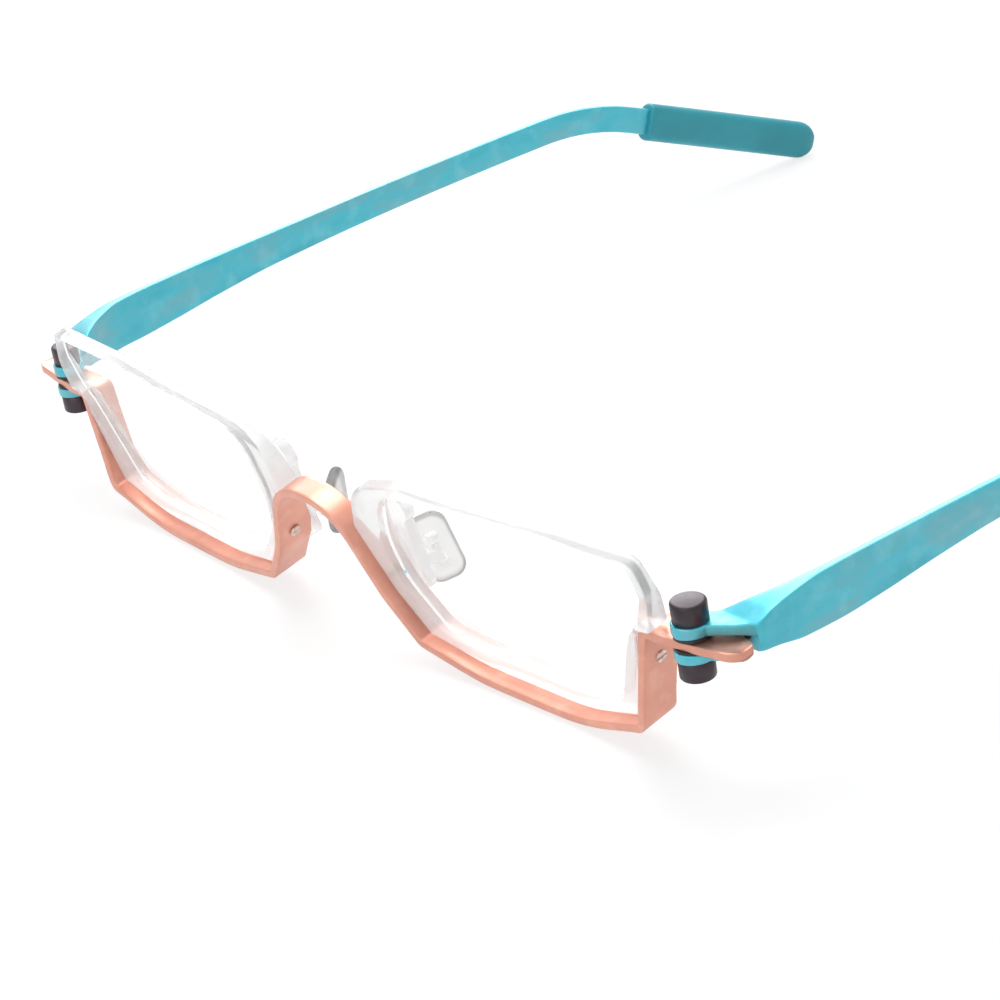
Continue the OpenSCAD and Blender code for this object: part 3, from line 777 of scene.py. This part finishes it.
def makeRub():
    # pale rubbed spots where hands hold the metal
    inputs = [("Vector", "NodeSocketVector", None), ("Scale", "NodeSocketFloat", 60.0),
              ("Amount", "NodeSocketFloat", 0.3)]
    tree, gin, gout = shadeGroup("handRub", inputs, [("Mask", "NodeSocketFloat")])
    noise = tree.nodes.new("ShaderNodeTexNoise")
    noise.inputs["Detail"].default_value = 6.0
    tree.links.new(gin.outputs["Vector"], noise.inputs["Vector"])
    tree.links.new(gin.outputs["Scale"], noise.inputs["Scale"])
    step = tree.nodes.new("ShaderNodeMapRange")
    step.inputs["From Min"].default_value, step.inputs["From Max"].default_value = 0.52, 0.72
    tree.links.new(noise.outputs["Fac"], step.inputs["Value"])
    mask = mathNode(tree, "MULTIPLY", step.outputs["Result"], gin.outputs["Amount"])
    tree.links.new(mask, gout.inputs["Mask"])
    return tree


grainGroup, rubGroup = makeGrain(), makeRub()


class Finish:
    # one material and the helpers that its look needs
    def __init__(self, name, values):
        self.mat = bpy.data.materials.new(name)
        self.mat.use_nodes = True
        self.tree = self.mat.node_tree
        self.tree.nodes.clear()
        self.shader = self.tree.nodes.new("ShaderNodeBsdfPrincipled")
        out = self.tree.nodes.new("ShaderNodeOutputMaterial")
        self.tree.links.new(self.shader.outputs["BSDF"], out.inputs["Surface"])
        self.coords = self.tree.nodes.new("ShaderNodeTexCoord").outputs["Object"]
        for label, value in values.items():
            self.shader.inputs[label].default_value = value

    def group(self, tree, **values):
        node = self.tree.nodes.new("ShaderNodeGroup")
        node.node_tree = tree
        self.tree.links.new(self.coords, node.inputs["Vector"])
        for label, value in values.items():
            node.inputs[label].default_value = value
        return node

    def grain(self, stretch, scale, detail):
        return self.group(grainGroup, Stretch=stretch, Scale=scale, Detail=detail)

    def rub(self, scale, amount):
        return self.group(rubGroup, Scale=scale, Amount=amount).outputs["Mask"]

    def ramp(self, source, stops):
        node = self.tree.nodes.new("ShaderNodeValToRGB")
        self.tree.links.new(source, node.inputs["Fac"])
        band = node.color_ramp
        while len(band.elements) < len(stops):
            band.elements.new(0.5)
        for element, (place, colour) in zip(band.elements, stops):
            element.position, element.color = place, (*colour, 1)
        return node.outputs["Color"]

    def mix(self, mask, base, tone):
        node = self.tree.nodes.new("ShaderNodeMix")
        node.data_type = "RGBA"
        first, second = [s for s in node.inputs if s.type == "RGBA"]
        self.tree.links.new(mask, node.inputs["Factor"])
        self.tree.links.new(base, first)
        second.default_value = (*tone, 1)
        return [s for s in node.outputs if s.type == "RGBA"][0]

    def attribute(self, name):
        node = self.tree.nodes.new("ShaderNodeAttribute")
        node.attribute_name = name
        return node.outputs["Fac"]

    def facingShade(self, stops):
        # how far the surface turns away, for a painted grey shade where clear plastic is seen edge-on
        node = self.tree.nodes.new("ShaderNodeLayerWeight")
        node.inputs["Blend"].default_value = 0.5
        return self.ramp(node.outputs["Facing"], stops)

    def passLight(self, share):
        # lamps shine through the clear pieces, which would shade the strip too much otherwise
        path = self.tree.nodes.new("ShaderNodeLightPath")
        self.feed("Alpha", self.spread(path.outputs["Is Shadow Ray"], 1.0, 1.0 - share))

    def feed(self, label, source):
        self.tree.links.new(source, self.shader.inputs[label])

    def spread(self, source, low, high):
        node = self.tree.nodes.new("ShaderNodeMapRange")
        node.inputs["To Min"].default_value, node.inputs["To Max"].default_value = low, high
        self.tree.links.new(source, node.inputs["Value"])
        return node.outputs["Result"]

    def bump(self, source, strength, distance):
        node = self.tree.nodes.new("ShaderNodeBump")
        node.inputs["Strength"].default_value = strength
        node.inputs["Distance"].default_value = distance
        self.tree.links.new(source, node.inputs["Height"])
        self.feed("Normal", node.outputs["Normal"])


# finishes: grain and patch are (stretch, scale, detail); the tones follow the patch, or the grain where
# there is no patch; rubbed is (scale, amount, tone), relief is (strength, metres), the edge-on entry is the
# painted grey shade of what is seen edge-on, band the painted shade on the piece's own edge, passes the
# share of lamp light let through
looks = {
    "copper": {
        "name": "copperAnodised", "grain": ((1, 0.25, 1), 2600, 2.0), "patch": ((1, 1, 1), 160, 3.0),
        "tint": "Value", "tones": ((0.3, (0.68, 0.295, 0.215)), (0.7, (0.80, 0.37, 0.27))),
        "rubbed": (420, 0.25, (0.86, 0.55, 0.43)), "rough": (0.3, 0.48), "relief": (0.25, 0.00003),
        "values": {"Metallic": 0.72, "Roughness": 0.36, "Coat Weight": 0.25, "Coat Roughness": 0.25,
                   "Coat IOR": 1.6}},
    "turquoise": {
        "name": "turquoiseAnodised", "grain": ((1, 0.04, 1), 2400, 3.0), "patch": ((1, 0.35, 1), 260, 5.0),
        "tint": "Value", "tones": ((0.30, (0.02, 0.44, 0.55)), (0.48, (0.045, 0.52, 0.64)),
                                   (0.62, (0.11, 0.47, 0.56)), (0.75, (0.2, 0.5, 0.57))),
        "rubbed": (300, 0.35, (0.24, 0.70, 0.78)), "rough": (0.33, 0.55), "relief": (0.35, 0.00004),
        "values": {"Metallic": 0.55, "Roughness": 0.42, "Coat Weight": 0.6, "Coat Roughness": 0.3,
                   "Coat IOR": 1.7}},
    "cap": {
        "name": "darkCap", "grain": ((1, 1, 1), 1800, 2.0),
        "rough": (0.26, 0.44), "relief": (0.15, 0.00002),
        "tint": "Soft", "tones": ((0.3, (0.038, 0.029, 0.034)), (0.7, (0.08, 0.064, 0.074))),
        "values": {"Metallic": 0.7, "Roughness": 0.34}},
    "clear": {
        "name": "clearPlastic", "grain": ((1, 1, 1), 900, 2.0),
        "rough": (0.08, 0.2), "relief": (0.06, 0.00003),
        "tint": "Soft", "tones": ((0.3, (0.97, 0.975, 0.98)), (0.7, (1.0, 1.0, 1.0))),
        # painted grey shade where the rim is seen edge-on
        "edgeShade": (0.9, 0.905, 0.91), "passes": 0.8,
        "values": {"Metallic": 0.0, "Transmission Weight": 0.6, "IOR": 1.14}},
    "lens": {
        "name": "lensGlass", "grain": ((1, 1, 1), 60, 1.0), "rough": (0.0, 0.015), "passes": 0.95,
        "tint": "Soft", "tones": ((0.3, (0.99, 0.997, 1.0)), (0.7, (1.0, 1.0, 1.0))),
        "values": {"Metallic": 0.0, "Roughness": 0.0, "Transmission Weight": 1.0, "IOR": 1.4}},
    "pad": {
        "name": "padSilicone", "grain": ((1, 1, 1), 1300, 3.0),
        "rough": (0.22, 0.42), "relief": (0.12, 0.00005),
        "tint": "Soft", "tones": ((0.3, (0.97, 0.967, 0.955)), (0.7, (1.0, 0.997, 0.985))),
        # painted grey shade on the pad's side wall
        "band": (0.36, 0.36, 0.355), "passes": 0.8,
        "values": {"Metallic": 0.0, "Transmission Weight": 0.6, "IOR": 1.1}},
    "screw": {
        "name": "screwMetal", "grain": ((1, 1, 0.1), 2600, 2.0), "rough": (0.22, 0.4),
        "tint": "Value", "tones": ((0.3, (0.58, 0.40, 0.34)), (0.7, (0.82, 0.68, 0.62))),
        "values": {"Metallic": 0.9, "Roughness": 0.3}},
    "black": {
        "name": "blackWasher", "grain": ((1, 1, 1), 2400, 2.0),
        "rough": (0.42, 0.6), "relief": (0.2, 0.00003),
        "tint": "Value", "tones": ((0.3, (0.012, 0.012, 0.014)), (0.7, (0.03, 0.03, 0.034))),
        "values": {"Metallic": 0.0, "Roughness": 0.5}},
    "tip": {
        "name": "tipPlastic", "grain": ((1, 1, 1), 1600, 2.0), "patch": ((1, 0.5, 1), 120, 4.0),
        "tint": "Value", "tones": ((0.3, (0.012, 0.30, 0.38)), (0.7, (0.03, 0.40, 0.48))),
        "rough": (0.28, 0.44), "relief": (0.1, 0.00004),
        "values": {"Metallic": 0.0, "Roughness": 0.35, "IOR": 1.5}}}
# the rims are a little milky; the arms behind them get a darker painted shade where seen edge-on
looks["arm"] = {**looks["clear"], "name": "armPlastic", "edgeShade": (0.3, 0.3, 0.3)}


def makeFinish(look):
    finish = Finish(look["name"], look["values"])
    grain = finish.grain(*look["grain"])
    source = finish.grain(*look["patch"]) if "patch" in look else grain
    colour = finish.ramp(source.outputs[look["tint"]], look["tones"])
    if "rubbed" in look:
        scale, amount, tone = look["rubbed"]
        colour = finish.mix(finish.rub(scale, amount), colour, tone)
    # painted grey shade where the surface is seen edge-on
    if "edgeShade" in look:
        mask = finish.facingShade(((0.7, (0.0, 0.0, 0.0)), (1.0, (0.9, 0.9, 0.9))))
        colour = finish.mix(mask, colour, look["edgeShade"])
    # painted grey shade along the pad's side wall, from its edge attribute
    if "band" in look:
        colour = finish.mix(finish.attribute("edge"), colour, look["band"])
    finish.feed("Base Color", colour)
    finish.feed("Roughness", finish.spread(grain.outputs["Value"], *look["rough"]))
    if "relief" in look:
        finish.bump(grain.outputs["Value"], *look["relief"])
    if "passes" in look:
        finish.passLight(look["passes"])
    return finish.mat


finishes = {key: makeFinish(look) for key, look in looks.items()}
print("finishes", len(finishes))


def paint(obj, key):
    obj.data.materials.clear()
    obj.data.materials.append(finishes[key])
    for p in obj.data.polygons:
        p.material_index = 0


painted = {"copper": [frontStrip], "turquoise": temples, "tip": tips, "arm": arms, "clear": rims,
           "lens": lenses, "pad": pads}
for key, group in painted.items():
    for obj in group:
        paint(obj, key)
for side in sides:
    for where in ("outer", "inner"):
        node = "rim_screw_%s_%s" % (where, side)
        paint(softened(node, node + "_slotted", "front", "screw_metal", **soften["screw"]), "screw")
    paint(nodes["hinge_pin_" + side], "cap")
    paint(nodes["stop_bumper_" + side], "black")

# hinge caps and washers: outlines as (radius, height), places as (height, tilt in degrees, thickness)
hinge = {"capOutline": [(0, 0), (2.02, 0), (2.1, 0.07), (2.1, 2.26), (2.06, 2.36), (1.97, 2.46),
                        (1.86, 2.52), (1.72, 2.545), (0.0, 2.55)],
         "washerOutline": [(0.93, 0), (2.12, 0), (2.2, 0.12), (2.2, 0.88), (2.12, 1.0), (0.93, 1.0),
                           (0.93, 0)],
         "caps": [(16.35, 0, 1), (11.85, 180, 1)], "washers": [(14.45, 0, 0.5), (13.05, 0, 0.3)]}


def onPin(sign, stack):
    x, y = sign * temple["pinX"], temple["pinY"]
    return [(toShared(x, y, z), (tilt, 0, 0), (1, 1, thick)) for z, tilt, thick in stack]


capMesh, washerMesh = turned(hinge["capOutline"]), turned(hinge["washerOutline"])
placing = placeTree("placeTurned")
for sign, side in ((1, "left"), (-1, "right")):
    placed("hinge_caps_" + side, placing, capMesh, onPin(sign, hinge["caps"]), finishes["cap"],
           "temple_%s_body" % side, ["upper_cap_" + side, "lower_cap_" + side])
    placed("hinge_washers_" + side, placing, washerMesh, onPin(sign, hinge["washers"]), finishes["black"],
           "temple_%s_body" % side, ["upper_washer_" + side, "lower_washer_" + side])
print("hinge pieces placed")


# studio: a pale floor and a bright world, which the camera sees as plain white, and three lamps
studio = {"floorHalf": 4, "floorDrop": 0.0002, "floorTone": 0.9, "white": 1.1, "shadow": 0.3, "sky": 0.33}
lamps = {"topSoftbox": {"place": (-0.25, 0.15, 0.9), "target": (0, -0.03, 0), "size": 0.7, "power": 5.3},
         "frontFill": {"place": (0.2, -0.9, 0.5), "target": (0, 0, 0), "size": 0.8, "power": 1.8},
         "backGlow": {"place": (-0.75, 0.5, 0.5), "target": (0, -0.05, 0), "size": 0.6, "power": 3.6}}


def seenRays(tree):
    # 1 for the rays that show the studio itself, straight, mirrored or through something clear
    path = tree.nodes.new("ShaderNodeLightPath")
    seen = mathNode(tree, "MAXIMUM", path.outputs["Is Camera Ray"], path.outputs["Is Glossy Ray"])
    return mathNode(tree, "MAXIMUM", seen, path.outputs["Is Transmission Ray"])


def makeFloor():
    half, z = studio["floorHalf"], -studio["floorDrop"]
    mesh = bpy.data.meshes.new("floor")
    corners = [(-half, -half, z), (half, -half, z), (half, half, z), (-half, half, z)]
    mesh.from_pydata(corners, [], [(0, 1, 2, 3)])
    mat = bpy.data.materials.new("paleFloor")
    mat.use_nodes = True
    tree = mat.node_tree
    tree.nodes.clear()
    out, add = tree.nodes.new("ShaderNodeOutputMaterial"), tree.nodes.new("ShaderNodeMixShader")
    dull, glow = tree.nodes.new("ShaderNodeBsdfDiffuse"), tree.nodes.new("ShaderNodeEmission")
    dull.inputs["Color"].default_value = (studio["floorTone"],) * 3 + (1,)
    glow.inputs["Strength"].default_value = studio["white"]  # with the dull share this comes to plain white
    tree.links.new(mathNode(tree, "MULTIPLY", seenRays(tree), 1 - studio["shadow"]), add.inputs[0])
    tree.links.new(dull.outputs[0], add.inputs[1])
    tree.links.new(glow.outputs[0], add.inputs[2])
    tree.links.new(add.outputs[0], out.inputs["Surface"])
    mesh.materials.append(mat)
    newObject("floor", mesh)


def makeSky():
    # the sky looks white, and lights the glasses with a lower share
    world = bpy.data.worlds.new("studio")
    bpy.context.scene.world = world
    world.use_nodes = True
    tree = world.node_tree
    tree.nodes.clear()
    back, out = tree.nodes.new("ShaderNodeBackground"), tree.nodes.new("ShaderNodeOutputWorld")
    back.inputs["Color"].default_value = (1, 1, 1, 1)
    strength = mathNode(tree, "MULTIPLY_ADD", seenRays(tree), 1 - studio["sky"], studio["sky"])
    tree.links.new(strength, back.inputs["Strength"])
    tree.links.new(back.outputs[0], out.inputs["Surface"])


def addLamp(name, place, target, size, power):
    data = bpy.data.lights.new(name, "AREA")
    data.shape, data.size, data.energy = "DISK", size, power
    lamp = newObject(name, data)
    lamp.location = place
    lamp.rotation_euler = (Vector(target) - Vector(place)).to_track_quat("-Z", "Y").to_euler()


makeFloor()
makeSky()
for name, lamp in lamps.items():
    addLamp(name, **lamp)

# camera in the drawing's datum; turn, drop and roll in degrees, lens and sensor in millimetres
view = {"place": (313.24, -193.13, 189.01), "turn": 54.686, "drop": 25.813, "roll": -9.656, "lens": 120.36,
        "sensor": 36.0, "clip": (0.01, 20.0)}


def makeCamera():
    a, e, r = (math.radians(view[k]) for k in ("turn", "drop", "roll"))
    ahead = Vector((-math.sin(a) * math.cos(e), math.cos(a) * math.cos(e), -math.sin(e)))
    level = Vector((math.cos(a), math.sin(a), 0))
    upright = level.cross(ahead)
    right = math.cos(r) * level + math.sin(r) * upright
    up = -math.sin(r) * level + math.cos(r) * upright
    data = bpy.data.cameras.new("camera")
    data.lens, data.sensor_width = view["lens"], view["sensor"]
    data.clip_start, data.clip_end = view["clip"]
    cam = newObject("camera", data)
    m = Matrix((right, up, -ahead)).transposed().to_4x4()
    m.translation = toShared(*view["place"])
    cam.matrix_world = m
    bpy.context.scene.camera = cam


makeCamera()
bpy.context.scene.view_settings.view_transform = "Standard"
print("studio ready")
